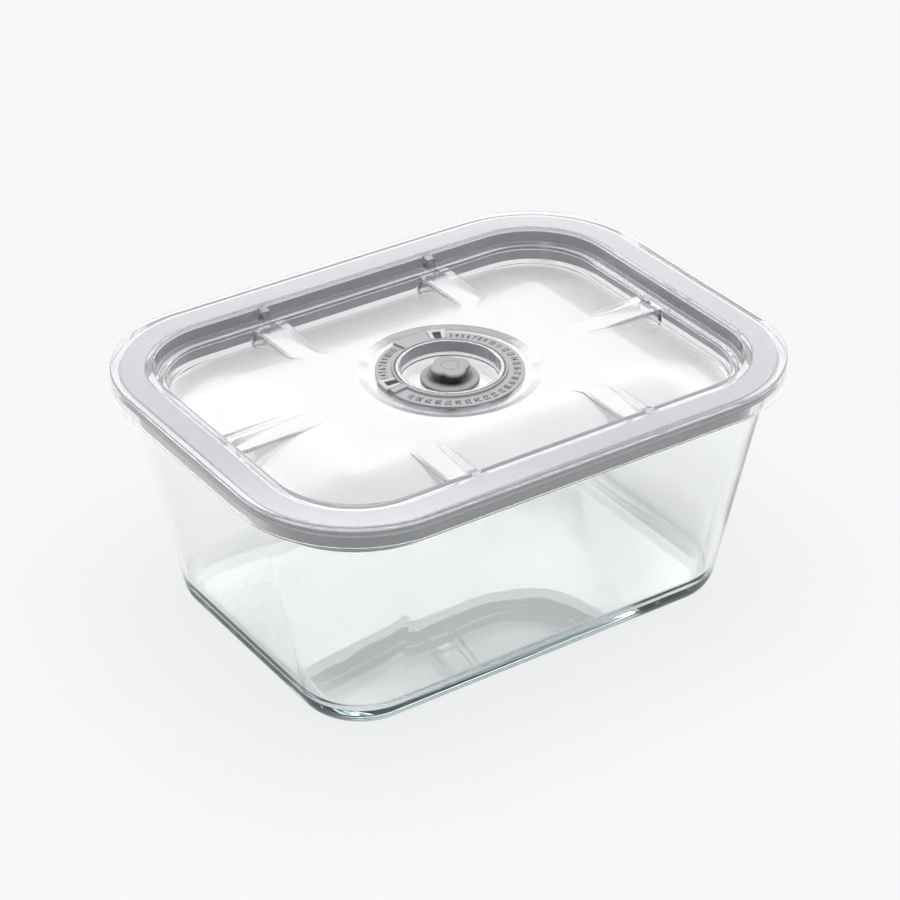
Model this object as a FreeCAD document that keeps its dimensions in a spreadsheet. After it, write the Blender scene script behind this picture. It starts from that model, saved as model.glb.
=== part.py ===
import FreeCAD, Part
import math
import os
import Sketcher

# Rectangular glass food container with a clear, recessed vacuum lid.
# Millimetres, +Z up, +X along the long side, origin under the middle of the glass base.

SIZES = {
    # glass tub
    "glass_length": 201.0,
    "glass_width": 152.0,
    "glass_height": 89.0,
    "glass_corner": 39.0,
    "glass_lean": 0.194,
    "glass_wall": 3.2,
    "glass_base": 5.5,
    "glass_foot_round": 8.0,
    "glass_inside_bevel": 4.5,
    # lid rim
    "skirt_gap": 2.4,
    "skirt_wall": 2.6,
    "skirt_depth": 8.2,
    "flange_width": 14.3,
    "flange_thick": 2.2,
    "flange_bevel": 0.7,
    "lid_wall": 2.2,
    # lid recess and panel
    "ledge_depth": 5.4,
    "ledge_width": 4.0,
    "recess_lean": 0.08,
    "panel_depth": 6.0,
    "pocket_depth": 11.8,
    "crown_run": 29.0,
    "crown_corner": 30.0,
    "tongue_width": 12.6,
    "tongue_lean": 0.22,
    "tongue_spacing": 70.0,
    "gusset_width": 3.0,
    "gusset_drop": 0.6,
    "gusset_reach": 3.2,
    "gusset_lean": 0.8,
    "gusset_front": 1.9,
    # gasket
    "gasket_web": 2.8,
    "gasket_side_gap": 0.4,
    "gasket_lip_drop": 7.7,
    "gasket_lip": 1.2,
    # dial recess and valve well
    "dial_margin": 2.05,
    "dial_bevel": 3.4,
    "dial_recess": 0.9,
    "collar_bore_radius": 17.3,
    "collar_wall": 1.6,
    "collar_rise": 1.4,
    "well_depth": 4.2,
    "vent_radius": 0.9,
    "vent_circle_radius": 6.2,
    # date ring
    "ring_gap": 0.3,
    "ring_lip_wall": 0.8,
    "ring_track_width": 5.75,
    "ring_lip_drop": 0.05,
    "ring_skirt_depth": 2.6,
    "ring_track_rise": 0.4,
    "ring_edge_thick": 0.55,
    "ring_undercut": 0.95,
    "divider_rise": 0.95,
    "day_divider_start": 75.2,
    "day_divider_sweep": 30.8,
    "month_divider_start": 182.7,
    "month_divider_sweep": 6.3,
    # sliders
    "slider_sweep": 14.8,
    "slider_gap": 0.15,
    "slider_plate": 0.8,
    "slider_skirt": 0.65,
    "slider_hook": 0.45,
    "slider_play": 0.6,
    "window_sweep": 7.0,
    "window_frame": 1.1,
    # valve
    "valve_disc_radius": 10.25,
    "valve_disc_thick": 2.0,
    "valve_dish": 0.7,
    "valve_disc_rim": 2.0,
    "valve_stem_radius": 3.4,
    "valve_knob_height": 6.0,
    "valve_knob_thick": 1.7,
    "valve_lobe_radius": 4.6,
    "valve_lobe_offset": 2.65,
    "valve_lobe_angle": 80.0,
    "valve_lobe_round": 1.6,
    "valve_pin_radius": 2.0,
    "valve_pin_gap": 0.3,
    "valve_bulb_radius": 3.2,
    "valve_bulb_length": 2.0,
    "valve_travel": 1.5,
    "valve_tab_width": 2.6,
    "valve_tab_reach": 0.9,
    "valve_tab_thick": 0.8,
    "valve_tab_angle": 196.0,
}

VENT_COUNT = 2
LOBE_COUNT = 4

doc = FreeCAD.newDocument("vacuum_container")
sheet = doc.addObject("Spreadsheet::Sheet", "sizes")
for row, (name, number) in enumerate(SIZES.items(), start=1):
    sheet.set("A%d" % row, name)
    sheet.set("B%d" % row, str(number))
    sheet.setAlias("B%d" % row, name)
doc.recompute()


class Size:
    """A measure that carries its number and the sheet expression that gives it."""

    def __init__(self, number, text):
        self.number = float(number)
        self.text = text

    def __add__(self, other):
        other = as_size(other)
        return Size(self.number + other.number, "(%s + %s)" % (self.text, other.text))

    def __sub__(self, other):
        other = as_size(other)
        return Size(self.number - other.number, "(%s - %s)" % (self.text, other.text))

    def __mul__(self, other):
        other = as_size(other)
        return Size(self.number * other.number, "(%s * %s)" % (self.text, other.text))

    def __truediv__(self, other):
        other = as_size(other)
        return Size(self.number / other.number, "(%s / %s)" % (self.text, other.text))

    def __neg__(self):
        return Size(-self.number, "(0 - %s)" % self.text)


def as_size(item):
    """A Size as it is, or a plain number as a constant Size."""
    if isinstance(item, Size):
        return item
    return Size(item, repr(float(item)))


def size(name):
    """The sheet's measure of that name."""
    return Size(sheet.get(name), "sizes." + name)


def bind(item, path, measure):
    """Tie a property or a sketch constraint to a measure."""
    item.setExpression(path, as_size(measure).text)


# Levels above the base plane
RIM_TOP = size("glass_height")
CHANNEL_TOP = RIM_TOP + size("gasket_web")
LID_TOP = CHANNEL_TOP + size("flange_thick")
SKIRT_BOTTOM = LID_TOP - size("skirt_depth")
LEDGE_TOP = LID_TOP - size("ledge_depth")
LEDGE_UNDER = LEDGE_TOP - size("lid_wall")
PANEL_TOP = LID_TOP - size("panel_depth")
PANEL_UNDER = PANEL_TOP - size("lid_wall")
POCKET_FLOOR = LID_TOP - size("pocket_depth")
POCKET_UNDER = POCKET_FLOOR - size("lid_wall")
DIAL_FLOOR = PANEL_TOP - size("dial_recess")
COLLAR_TOP = PANEL_TOP + size("collar_rise")
WELL_FLOOR = PANEL_TOP - size("well_depth")
WELL_UNDER = WELL_FLOOR - size("lid_wall")

# Offsets from the outside of the glass rim, positive outwards
SKIRT_INSIDE = size("skirt_gap")
SKIRT_OUTSIDE = SKIRT_INSIDE + size("skirt_wall")
FLANGE_INSIDE = SKIRT_OUTSIDE - size("flange_width")
CHANNEL_INSIDE = FLANGE_INSIDE + size("lid_wall")
LEDGE_OUTSIDE = FLANGE_INSIDE - size("recess_lean") * size("ledge_depth")
LEDGE_INSIDE = LEDGE_OUTSIDE - size("ledge_width")
POCKET_FALL = size("pocket_depth") - size("ledge_depth")
POCKET_EDGE = LEDGE_INSIDE - size("recess_lean") * POCKET_FALL
CROWN_EDGE = LEDGE_INSIDE - size("crown_run")

# Radii and levels of the dial, from the collar outwards
COLLAR_OUT = size("collar_bore_radius") + size("collar_wall")
RING_INSIDE = COLLAR_OUT + size("ring_gap")
RING_LIP_OUT = RING_INSIDE + size("ring_lip_wall")
RING_OUTSIDE = RING_LIP_OUT + size("ring_track_width")
SLIDER_INSIDE = RING_OUTSIDE + size("slider_gap")
SLIDER_OUTSIDE = SLIDER_INSIDE + size("slider_skirt")
DIAL_EDGE = SLIDER_OUTSIDE + size("dial_margin")
DIAL_RIM = DIAL_EDGE + size("dial_bevel")
RING_TRACK = PANEL_TOP + size("ring_track_rise")
RING_SEAT = RING_OUTSIDE - size("ring_undercut")
RING_EDGE_UNDER = RING_TRACK - size("ring_edge_thick")
RING_LIP_TOP = COLLAR_TOP - size("ring_lip_drop")


def turn_sketch(sketch, angle):
    """Turn a sketch in its own plane."""
    level = sketch.AttachmentOffset.Base
    sketch.AttachmentOffset = FreeCAD.Placement(
        level, FreeCAD.Rotation(FreeCAD.Vector(0, 0, 1), angle.number))
    bind(sketch, "AttachmentOffset.Rotation.Angle", angle)


def new_body(name):
    body = doc.addObject("PartDesign::Body", name)
    body.Label = name
    return body


def origin_item(body, role):
    """One of the body's own origin planes or axes."""
    return next(item for item in body.Origin.OriginFeatures if item.Role == role)


def new_sketch(body, name, plane, level=None):
    """An empty sketch on an origin plane, shifted along the plane's normal."""
    sketch = body.newObject("Sketcher::SketchObject", name)
    sketch.AttachmentSupport = (origin_item(body, plane), "")
    sketch.MapMode = "FlatFace"
    if level is not None:
        bind(sketch, "AttachmentOffset.Base.z", level)
    return sketch


def name_constraint(sketch, constraint, measure):
    """Add a dimension and tie it to its measure."""
    index = sketch.addConstraint(constraint)
    bind(sketch, "Constraints[%d]" % index, measure)


def add_outline(sketch, offset, corner=None):
    """A rounded rectangle parallel to the glass rim, with its own corner radius if one is given."""
    length = size("glass_length") + offset * 2
    width = size("glass_width") + offset * 2
    corner = corner or size("glass_corner") + offset
    half_x, half_y, radius = length.number / 2, width.number / 2, corner.number
    signs = ((1, -1), (1, 1), (-1, 1), (-1, -1))
    first = sketch.GeometryCount
    for turn, (sign_x, sign_y) in enumerate(signs):
        middle = FreeCAD.Vector(sign_x * (half_x - radius), sign_y * (half_y - radius), 0)
        begin = (turn - 1) * math.pi / 2
        circle = Part.Circle(middle, FreeCAD.Vector(0, 0, 1), radius)
        sketch.addGeometry(Part.ArcOfCircle(circle, begin, begin + math.pi / 2))
    for turn in range(4):
        start = sketch.getPoint(first + turn, 2)
        end = sketch.getPoint(first + (turn + 1) % 4, 1)
        sketch.addGeometry(Part.LineSegment(start, end))
    for turn in range(4):
        arc, line, following = first + turn, first + 4 + turn, first + (turn + 1) % 4
        sketch.addConstraint(Sketcher.Constraint("Tangent", arc, 2, line, 1))
        sketch.addConstraint(Sketcher.Constraint("Tangent", line, 2, following, 1))
        direction = "Vertical" if turn % 2 == 0 else "Horizontal"
        sketch.addConstraint(Sketcher.Constraint(direction, line))
    for turn in range(1, 4):
        sketch.addConstraint(Sketcher.Constraint("Equal", first, first + turn))
    sketch.addConstraint(Sketcher.Constraint("Symmetric", first, 3, first + 2, 3, -1, 1))
    name_constraint(sketch, Sketcher.Constraint("Radius", first, radius), corner)
    across = Sketcher.Constraint("DistanceX", first + 6, 1, first + 4, 1, length.number)
    name_constraint(sketch, across, length)
    along = Sketcher.Constraint("DistanceY", first + 7, 1, first + 5, 1, width.number)
    name_constraint(sketch, along, width)


def add_polygon(sketch, points):
    """A closed straight-sided outline whose corners are pairs of measures."""
    points = [(as_size(across), as_size(up)) for across, up in points]
    first = sketch.GeometryCount
    count = len(points)
    corners = [FreeCAD.Vector(across.number, up.number, 0) for across, up in points]
    for turn in range(count):
        sketch.addGeometry(Part.LineSegment(corners[turn], corners[(turn + 1) % count]))
    for turn in range(count):
        following = first + (turn + 1) % count
        sketch.addConstraint(Sketcher.Constraint("Coincident", first + turn, 2, following, 1))
    for turn, (across, up) in enumerate(points):
        line = first + turn
        for kind, measure in (("DistanceX", across), ("DistanceY", up)):
            if measure.number == 0:
                axis = -2 if kind == "DistanceX" else -1
                sketch.addConstraint(Sketcher.Constraint("PointOnObject", line, 1, axis))
            else:
                constraint = Sketcher.Constraint(kind, -1, 1, line, 1, measure.number)
                name_constraint(sketch, constraint, measure)


def outline_sketch(body, name, level, *offsets):
    """A level sketch of one or more outlines parallel to the glass rim."""
    sketch = new_sketch(body, name, "XY_Plane", level)
    for offset in offsets:
        add_outline(sketch, offset)
    return sketch


def feature(body, kind, name, sketch, **options):
    """A feature made from a sketch, with plain options or measures."""
    made = body.newObject("PartDesign::" + kind, name)
    made.Profile = sketch
    for option, value in options.items():
        if isinstance(value, Size):
            bind(made, option, value)
        else:
            setattr(made, option, value)
    return made


def loft(body, kind, name, sketches):
    """A straight loft through level sketches."""
    made = feature(body, kind, name, sketches[0], Ruled=True)
    made.Sections = sketches[1:]
    return made


def turned(body, kind, name, profiles, **options):
    """A solid or cut of revolution about Z, from outlines in the XZ plane."""
    sketch = new_sketch(body, name + "_profile", "XZ_Plane")
    for points in profiles:
        add_polygon(sketch, points)
    return feature(body, kind, name, sketch, ReferenceAxis=(sketch, ["V_Axis"]), **options)


def rim_distance(point):
    """How far a point lies outside the outline of the glass rim, seen from above."""
    corner = size("glass_corner").number
    across = max(abs(point.x) - size("glass_length").number / 2 + corner, 0)
    along = max(abs(point.y) - size("glass_width").number / 2 + corner, 0)
    return math.hypot(across, along) - corner


def outline_edges(shape, level, offset):
    """Names of the level edges that run parallel to the glass rim at an offset."""
    names = []
    for number, edge in enumerate(shape.Edges, start=1):
        middle = edge.valueAt((edge.FirstParameter + edge.LastParameter) / 2)
        flat = edge.BoundBox.ZLength < 0.01 and abs(middle.z - level.number) < 0.01
        if flat and abs(rim_distance(middle) - offset.number) < 0.05:
            names.append("Edge%d" % number)
    return names


def upright_edges(shape, distance, level):
    """Names of the upright edges at a distance from Z that start at a level."""
    names = []
    for number, edge in enumerate(shape.Edges, start=1):
        foot = edge.Vertexes[0].Point
        upright = edge.BoundBox.XLength + edge.BoundBox.YLength < 0.01
        near = abs(math.hypot(foot.x, foot.y) - distance) < 0.05
        if upright and near and abs(edge.BoundBox.ZMin - level.number) < 0.01:
            names.append("Edge%d" % number)
    return names


def dress_edges(body, kind, name, edges, measure):
    """Fillet or bevel the named edges of the body's present shape."""
    base = body.Tip
    made = body.newObject("PartDesign::" + kind, name)
    made.Base = (base, edges)
    bind(made, "Radius" if kind == "Fillet" else "Size", measure)
    return made


def dress_outline(body, kind, name, level, offset, measure):
    """Fillet or bevel the level edges that run parallel to the glass rim at an offset."""
    doc.recompute()
    return dress_edges(body, kind, name, outline_edges(body.Shape, level, offset), measure)


def glass_container():
    """Tapered glass tub with rounded corners, a heavy rounded foot and a plain rim."""
    body = new_body("glass_container")
    foot = -(size("glass_lean") * size("glass_height"))
    outside = [outline_sketch(body, "glass_foot", as_size(0), foot),
               outline_sketch(body, "glass_mouth", RIM_TOP, as_size(0))]
    loft(body, "AdditiveLoft", "glass_block", outside)
    floor_offset = foot + size("glass_lean") * size("glass_base") - size("glass_wall")
    inside = [outline_sketch(body, "glass_floor", size("glass_base"), floor_offset),
              outline_sketch(body, "glass_opening", RIM_TOP, -size("glass_wall"))]
    loft(body, "SubtractiveLoft", "glass_hollow", inside)
    dress_outline(body, "Fillet", "foot_round", as_size(0), foot, size("glass_foot_round"))
    dress_outline(body, "Chamfer", "inside_bevel", size("glass_base"), floor_offset,
                  size("glass_inside_bevel"))
    return body


def crown_sketches(body, name, foot_level, top_level):
    """Foot and top outlines of the panel's crown, whose corners close in about one centre."""
    foot = new_sketch(body, name + "_foot", "XY_Plane", foot_level)
    add_outline(foot, POCKET_EDGE, size("crown_corner"))
    top = new_sketch(body, name + "_top", "XY_Plane", top_level)
    add_outline(top, CROWN_EDGE, size("crown_corner") - (POCKET_EDGE - CROWN_EDGE))
    return [foot, top]


def add_tongues(body, kind, name, top, foot, inset, end_offset):
    """Tongue bars across the panel, two along Y and one along X, cut off at a level."""
    reach_x = size("glass_length") + end_offset * 2
    reach_y = size("glass_width") + end_offset * 2
    half_top = size("tongue_width") / 2 - inset
    half_foot = half_top + size("tongue_lean") * (top - foot)
    along_y = new_sketch(body, name + "_long", "XZ_Plane")
    for side in (-1, 1):
        middle = size("tongue_spacing") * (side / 2)
        add_polygon(along_y, [(middle - half_foot, foot), (middle + half_foot, foot),
                              (middle + half_top, top), (middle - half_top, top)])
    feature(body, kind, name + "_y", along_y, Length=reach_y, SideType="Symmetric")
    along_x = new_sketch(body, name + "_short", "YZ_Plane")
    add_polygon(along_x, [(-half_foot, foot), (half_foot, foot), (half_top, top), (-half_top, top)])
    feature(body, kind, name + "_x", along_x, Length=reach_x, SideType="Symmetric")


def add_gussets(body):
    """Four ribs that prop the recess wall above the long-side tongues."""
    wall = size("glass_width") / 2 + FLANGE_INSIDE
    sketch = new_sketch(body, "gusset_profile", "YZ_Plane", size("tongue_spacing") / 2)
    crest = LID_TOP - size("gusset_drop")
    toe = wall - size("gusset_reach") - size("gusset_lean")
    shoulder = wall - size("gusset_reach")
    bury = size("lid_wall") / 2
    for side in (-1, 1):
        points = [(wall + bury, LEDGE_TOP - bury), (toe, LEDGE_TOP - bury), (toe, LEDGE_TOP),
                  (shoulder, crest - size("gusset_front")), (wall, crest), (wall + bury, crest)]
        add_polygon(sketch, [(across * side, up) for across, up in points])
    pad = feature(body, "Pad", "gussets_right", sketch, Length=size("gusset_width"),
                  SideType="Symmetric")
    mirror = body.newObject("PartDesign::Mirrored", "gussets_left")
    mirror.Originals = [pad]
    mirror.MirrorPlane = (origin_item(body, "YZ_Plane"), [""])
    body.Tip = mirror


def add_dial_seat(body):
    """Shallow dial recess, ring seat and channel, collar and valve well with its hole and vents."""
    collar_in = size("collar_bore_radius")
    channel_out = RING_LIP_OUT + size("ring_gap")
    channel_floor = DIAL_FLOOR - size("ring_skirt_depth") - size("ring_gap")
    boss = channel_out + size("lid_wall")
    body_top = (DIAL_FLOOR + PANEL_UNDER) / 2
    turned(body, "Revolution", "dial_seat", [[
        (0, WELL_UNDER), (boss, WELL_UNDER), (boss, body_top), (COLLAR_OUT, body_top),
        (COLLAR_OUT, COLLAR_TOP), (collar_in, COLLAR_TOP), (collar_in, body_top), (0, body_top)]])
    hole = size("valve_pin_radius") + size("valve_pin_gap")
    above = COLLAR_TOP + size("lid_wall")
    below = WELL_UNDER - size("lid_wall")
    ring_space = [
        (COLLAR_OUT, channel_floor), (channel_out, channel_floor),
        (channel_out, RING_EDGE_UNDER), (RING_SEAT, RING_EDGE_UNDER), (RING_SEAT, DIAL_FLOOR),
        (DIAL_EDGE, DIAL_FLOOR), (DIAL_RIM, PANEL_TOP), (DIAL_RIM, above), (COLLAR_OUT, above)]
    well_space = [(0, below), (hole, below), (hole, WELL_FLOOR), (collar_in, WELL_FLOOR),
                  (collar_in, above), (0, above)]
    turned(body, "Groove", "dial_hollow", [ring_space, well_space])
    vent = new_sketch(body, "vent_circle", "XY_Plane", WELL_FLOOR)
    middle = FreeCAD.Vector(size("vent_circle_radius").number, 0, 0)
    vent.addGeometry(Part.Circle(middle, FreeCAD.Vector(0, 0, 1), size("vent_radius").number))
    vent.addConstraint(Sketcher.Constraint("PointOnObject", 0, 3, -1))
    reach = Sketcher.Constraint("DistanceX", -1, 1, 0, 3, middle.x)
    name_constraint(vent, reach, size("vent_circle_radius"))
    name_constraint(vent, Sketcher.Constraint("Radius", 0, size("vent_radius").number),
                    size("vent_radius"))
    pocket = feature(body, "Pocket", "vent", vent, Length=size("lid_wall") * 2)
    pattern = body.newObject("PartDesign::PolarPattern", "vents")
    pattern.Originals = [pocket]
    pattern.Axis = (origin_item(body, "Z_Axis"), [""])
    pattern.Angle = 360
    pattern.Occurrences = VENT_COUNT
    body.Tip = pattern


def lid_shell():
    """Clear moulded lid: skirt, flange, recess, pocketed panel, tongues, gussets and dial seat."""
    body = new_body("lid_shell")
    feature(body, "Pad", "rim_block", outline_sketch(body, "rim", SKIRT_BOTTOM, SKIRT_OUTSIDE),
            Length=size("skirt_depth"))
    channel = outline_sketch(body, "channel", SKIRT_BOTTOM, SKIRT_INSIDE, CHANNEL_INSIDE)
    feature(body, "Pocket", "gasket_channel", channel, Reversed=True,
            Length=CHANNEL_TOP - SKIRT_BOTTOM)
    under = outline_sketch(body, "under_ledge", SKIRT_BOTTOM, CHANNEL_INSIDE)
    feature(body, "Pocket", "ledge_underside", under, Reversed=True,
            Length=LEDGE_UNDER - SKIRT_BOTTOM)
    loft(body, "SubtractiveLoft", "recess", [
        outline_sketch(body, "recess_top", LID_TOP, FLANGE_INSIDE),
        outline_sketch(body, "recess_ledge", LEDGE_TOP, LEDGE_OUTSIDE)])
    dress_outline(body, "Chamfer", "flange_outer_bevel", LID_TOP, SKIRT_OUTSIDE,
                  size("flange_bevel"))
    loft(body, "AdditiveLoft", "tub", [
        outline_sketch(body, "tub_top", LEDGE_UNDER, LEDGE_INSIDE + size("lid_wall")),
        outline_sketch(body, "tub_foot", POCKET_UNDER, POCKET_EDGE + size("lid_wall"))])
    loft(body, "SubtractiveLoft", "tub_hollow", [
        outline_sketch(body, "hollow_top", LEDGE_TOP, LEDGE_INSIDE),
        outline_sketch(body, "hollow_floor", POCKET_FLOOR, POCKET_EDGE)])
    loft(body, "AdditiveLoft", "crown", crown_sketches(body, "crown", POCKET_FLOOR, PANEL_TOP))
    tongue_end = LEDGE_INSIDE + size("lid_wall") / 4
    add_tongues(body, "Pad", "tongue", PANEL_TOP, POCKET_FLOOR, as_size(0), tongue_end)
    loft(body, "SubtractiveLoft", "crown_hollow",
         crown_sketches(body, "crown_hollow", POCKET_UNDER, PANEL_UNDER))
    add_tongues(body, "Pocket", "tongue_hollow", PANEL_UNDER, POCKET_UNDER, size("lid_wall"),
                POCKET_EDGE)
    add_dial_seat(body)
    add_gussets(body)
    return body


def lid_gasket():
    """Silicone seal: a flat web on the glass rim and a lip that hangs inside the glass."""
    body = new_body("lid_gasket")
    outside = SKIRT_INSIDE - size("gasket_side_gap")
    inside = CHANNEL_INSIDE + size("gasket_side_gap")
    web = outline_sketch(body, "gasket_web_ring", RIM_TOP, outside, inside)
    feature(body, "Pad", "gasket_body", web, Length=size("gasket_web"))
    lip = outline_sketch(body, "gasket_lip_ring", RIM_TOP, inside + size("gasket_lip"), inside)
    feature(body, "Pad", "gasket_inner_lip", lip, Reversed=True, Length=size("gasket_lip_drop"))
    return body


def rotated_sketch(body, name, angle):
    """A sketch in the upright plane through Z that stands at an angle from +X."""
    sketch = new_sketch(body, name, "XZ_Plane")
    sketch.AttachmentOffset = FreeCAD.Placement(
        FreeCAD.Vector(0, 0, 0), FreeCAD.Rotation(FreeCAD.Vector(0, 1, 0), 0))
    bind(sketch, "AttachmentOffset.Rotation.Angle", angle)
    return sketch


def date_ring():
    """Dial ring: inner wall down into the lid, level track over its seat and two dividers."""
    body = new_body("date_ring")
    outer = RING_OUTSIDE
    skirt_foot = DIAL_FLOOR - size("ring_skirt_depth")
    turned(body, "Revolution", "ring", [[
        (RING_INSIDE, skirt_foot), (RING_LIP_OUT, skirt_foot), (RING_LIP_OUT, RING_EDGE_UNDER),
        (outer, RING_EDGE_UNDER), (outer, RING_TRACK), (RING_LIP_OUT, RING_TRACK),
        (RING_LIP_OUT, RING_LIP_TOP), (RING_INSIDE, RING_LIP_TOP)]])
    top = RING_TRACK + size("divider_rise")
    sink = size("ring_edge_thick") / 2
    inner = RING_INSIDE + size("ring_lip_wall") / 2
    for name in ("day_divider", "month_divider"):
        sketch = rotated_sketch(body, name + "_profile", size(name + "_start"))
        add_polygon(sketch, [(inner, RING_TRACK - sink), (outer, RING_TRACK - sink),
                             (outer, top), (inner, top)])
        feature(body, "Revolution", name, sketch, ReferenceAxis=(sketch, ["V_Axis"]),
                Angle=size(name + "_sweep"))
    return body


def slider(name, middle_angle):
    """Forked pointer that rides on the track and hooks under the ring's outer edge."""
    body = new_body(name)
    gap = size("slider_gap")
    under = RING_TRACK + gap
    top = under + size("slider_plate")
    inner = RING_LIP_OUT + gap * 2
    hook_top = RING_EDGE_UNDER - gap
    hook_under = hook_top - size("slider_hook")
    hook_in = RING_SEAT + gap * 2
    sketch = rotated_sketch(body, name + "_profile", middle_angle - size("slider_sweep") / 2)
    add_polygon(sketch, [
        (inner, under), (SLIDER_INSIDE, under), (SLIDER_INSIDE, hook_top), (hook_in, hook_top),
        (hook_in, hook_under), (SLIDER_OUTSIDE, hook_under), (SLIDER_OUTSIDE, top), (inner, top)])
    feature(body, "Revolution", name + "_frame", sketch, ReferenceAxis=(sketch, ["V_Axis"]),
            Angle=size("slider_sweep"))
    window = rotated_sketch(body, name + "_window", middle_angle - size("window_sweep") / 2)
    edge = SLIDER_INSIDE - size("window_frame")
    add_polygon(window, [(inner - gap, under - gap), (edge, under - gap), (edge, top + gap),
                         (inner - gap, top + gap)])
    feature(body, "Groove", name + "_opening", window, ReferenceAxis=(window, ["V_Axis"]),
            Angle=size("window_sweep"))
    return body


def day_slider():
    """Day pointer, at rest against the clockwise end of the day divider."""
    beside = size("day_divider_start") - size("slider_play")
    return slider("day_slider", beside - size("slider_sweep") / 2)


def month_slider():
    """Month pointer, at rest against the clockwise end of the month divider."""
    beside = size("month_divider_start") - size("slider_play")
    return slider("month_slider", beside - size("slider_sweep") / 2)


def pull_valve():
    """Silicone valve: dished sealing disc, stem, four-lobed knob, pin and retaining bulb."""
    body = new_body("pull_valve")
    disc = size("valve_disc_radius")
    disc_top = WELL_FLOOR + size("valve_disc_thick")
    stem = size("valve_stem_radius")
    pin = size("valve_pin_radius")
    bulb = size("valve_bulb_radius")
    bulb_top = WELL_UNDER - size("valve_travel") - size("valve_pin_gap")
    bulb_foot = bulb_top - size("valve_bulb_length")
    knob_top = WELL_FLOOR + size("valve_knob_height")
    knob_under = knob_top - size("valve_knob_thick")
    dish = disc_top - size("valve_dish")
    root = disc - size("valve_disc_rim")
    turned(body, "Revolution", "disc_and_stem", [[
        (0, bulb_foot), (bulb, bulb_foot), (bulb, bulb_top), (pin, bulb_top), (pin, WELL_FLOOR),
        (disc, WELL_FLOOR), (disc, disc_top), (root, disc_top), (root, dish), (stem, dish),
        (stem, knob_under), (0, knob_under)]])
    tab = new_sketch(body, "tab_outline", "XY_Plane", WELL_FLOOR)
    turn_sketch(tab, size("valve_tab_angle"))
    half_tab = size("valve_tab_width") / 2
    tip = disc + size("valve_tab_reach")
    add_polygon(tab, [(root, -half_tab), (tip, -half_tab), (tip, half_tab), (root, half_tab)])
    feature(body, "Pad", "disc_tab", tab, Length=size("valve_tab_thick"))
    lobe = new_sketch(body, "knob_lobe", "XY_Plane", knob_under)
    turn_sketch(lobe, size("valve_lobe_angle"))
    middle = FreeCAD.Vector(size("valve_lobe_offset").number, 0, 0)
    lobe.addGeometry(Part.Circle(middle, FreeCAD.Vector(0, 0, 1), size("valve_lobe_radius").number))
    lobe.addConstraint(Sketcher.Constraint("PointOnObject", 0, 3, -1))
    name_constraint(lobe, Sketcher.Constraint("DistanceX", -1, 1, 0, 3, middle.x),
                    size("valve_lobe_offset"))
    name_constraint(lobe, Sketcher.Constraint("Radius", 0, size("valve_lobe_radius").number),
                    size("valve_lobe_radius"))
    pad = feature(body, "Pad", "knob_lobe_pad", lobe, Length=size("valve_knob_thick"))
    pattern = body.newObject("PartDesign::PolarPattern", "knob")
    pattern.Originals = [pad]
    pattern.Axis = (origin_item(body, "Z_Axis"), [""])
    pattern.Angle = 360
    pattern.Occurrences = LOBE_COUNT
    body.Tip = pattern
    doc.recompute()
    waist = size("valve_lobe_offset").number / math.sqrt(2)
    waist += math.sqrt(size("valve_lobe_radius").number ** 2 - waist ** 2)
    edges = upright_edges(body.Shape, waist, knob_under)
    dress_edges(body, "Fillet", "knob_waist_round", edges, size("valve_lobe_round"))
    return body


def failed(item):
    """Whether an object of the document is in a failed state."""
    return "Invalid" in item.State or "Error" in item.State


pieces = [glass_container(), lid_shell(), lid_gasket(), date_ring(), day_slider(), month_slider(),
          pull_valve()]
doc.recompute()
broken = [item.Name for item in doc.Objects if failed(item)]
if broken:
    raise RuntimeError("failed objects: " + ", ".join(broken))
os.makedirs("parts", exist_ok=True)
for piece in pieces:
    shape = piece.Shape
    if shape.isNull() or not shape.isValid() or not shape.Solids:
        raise RuntimeError("bad shape: " + piece.Label)
for piece in pieces:
    piece.Shape.exportStep("parts/%s.step" % piece.Label)
    print(piece.Label, len(piece.Shape.Solids), "solid", round(piece.Shape.Volume), "mm3")
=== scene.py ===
import math

import bmesh
import bpy
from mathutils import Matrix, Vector


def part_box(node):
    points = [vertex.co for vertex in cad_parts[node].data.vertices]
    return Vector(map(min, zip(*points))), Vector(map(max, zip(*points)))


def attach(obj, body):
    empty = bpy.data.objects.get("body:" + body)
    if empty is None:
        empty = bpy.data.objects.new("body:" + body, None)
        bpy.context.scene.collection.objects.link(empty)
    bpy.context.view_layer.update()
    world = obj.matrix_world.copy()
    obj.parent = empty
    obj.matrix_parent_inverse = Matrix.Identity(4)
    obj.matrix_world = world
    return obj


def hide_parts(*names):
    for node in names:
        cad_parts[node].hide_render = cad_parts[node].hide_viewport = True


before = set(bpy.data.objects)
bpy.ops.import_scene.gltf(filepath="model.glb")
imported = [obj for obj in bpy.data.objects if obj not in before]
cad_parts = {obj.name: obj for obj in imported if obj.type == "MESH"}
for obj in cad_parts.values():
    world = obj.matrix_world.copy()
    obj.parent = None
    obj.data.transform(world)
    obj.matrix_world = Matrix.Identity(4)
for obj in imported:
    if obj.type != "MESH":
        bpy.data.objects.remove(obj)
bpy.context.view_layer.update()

MM = 0.001

# Measures in millimetres and degrees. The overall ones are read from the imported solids.
GLASS_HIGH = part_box("glass_container")[1] / MM
LID_LOW, LID_HIGH = (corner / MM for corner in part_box("lid_shell"))
GASKET_LOW, GASKET_HIGH = (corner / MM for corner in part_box("lid_gasket"))
RING_LOW, RING_HIGH = (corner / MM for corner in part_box("date_ring"))
VALVE_LOW, VALVE_HIGH = (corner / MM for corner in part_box("pull_valve"))

# Pieces that rest on each other stay a hair apart.
CONTACT = 0.04

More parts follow.
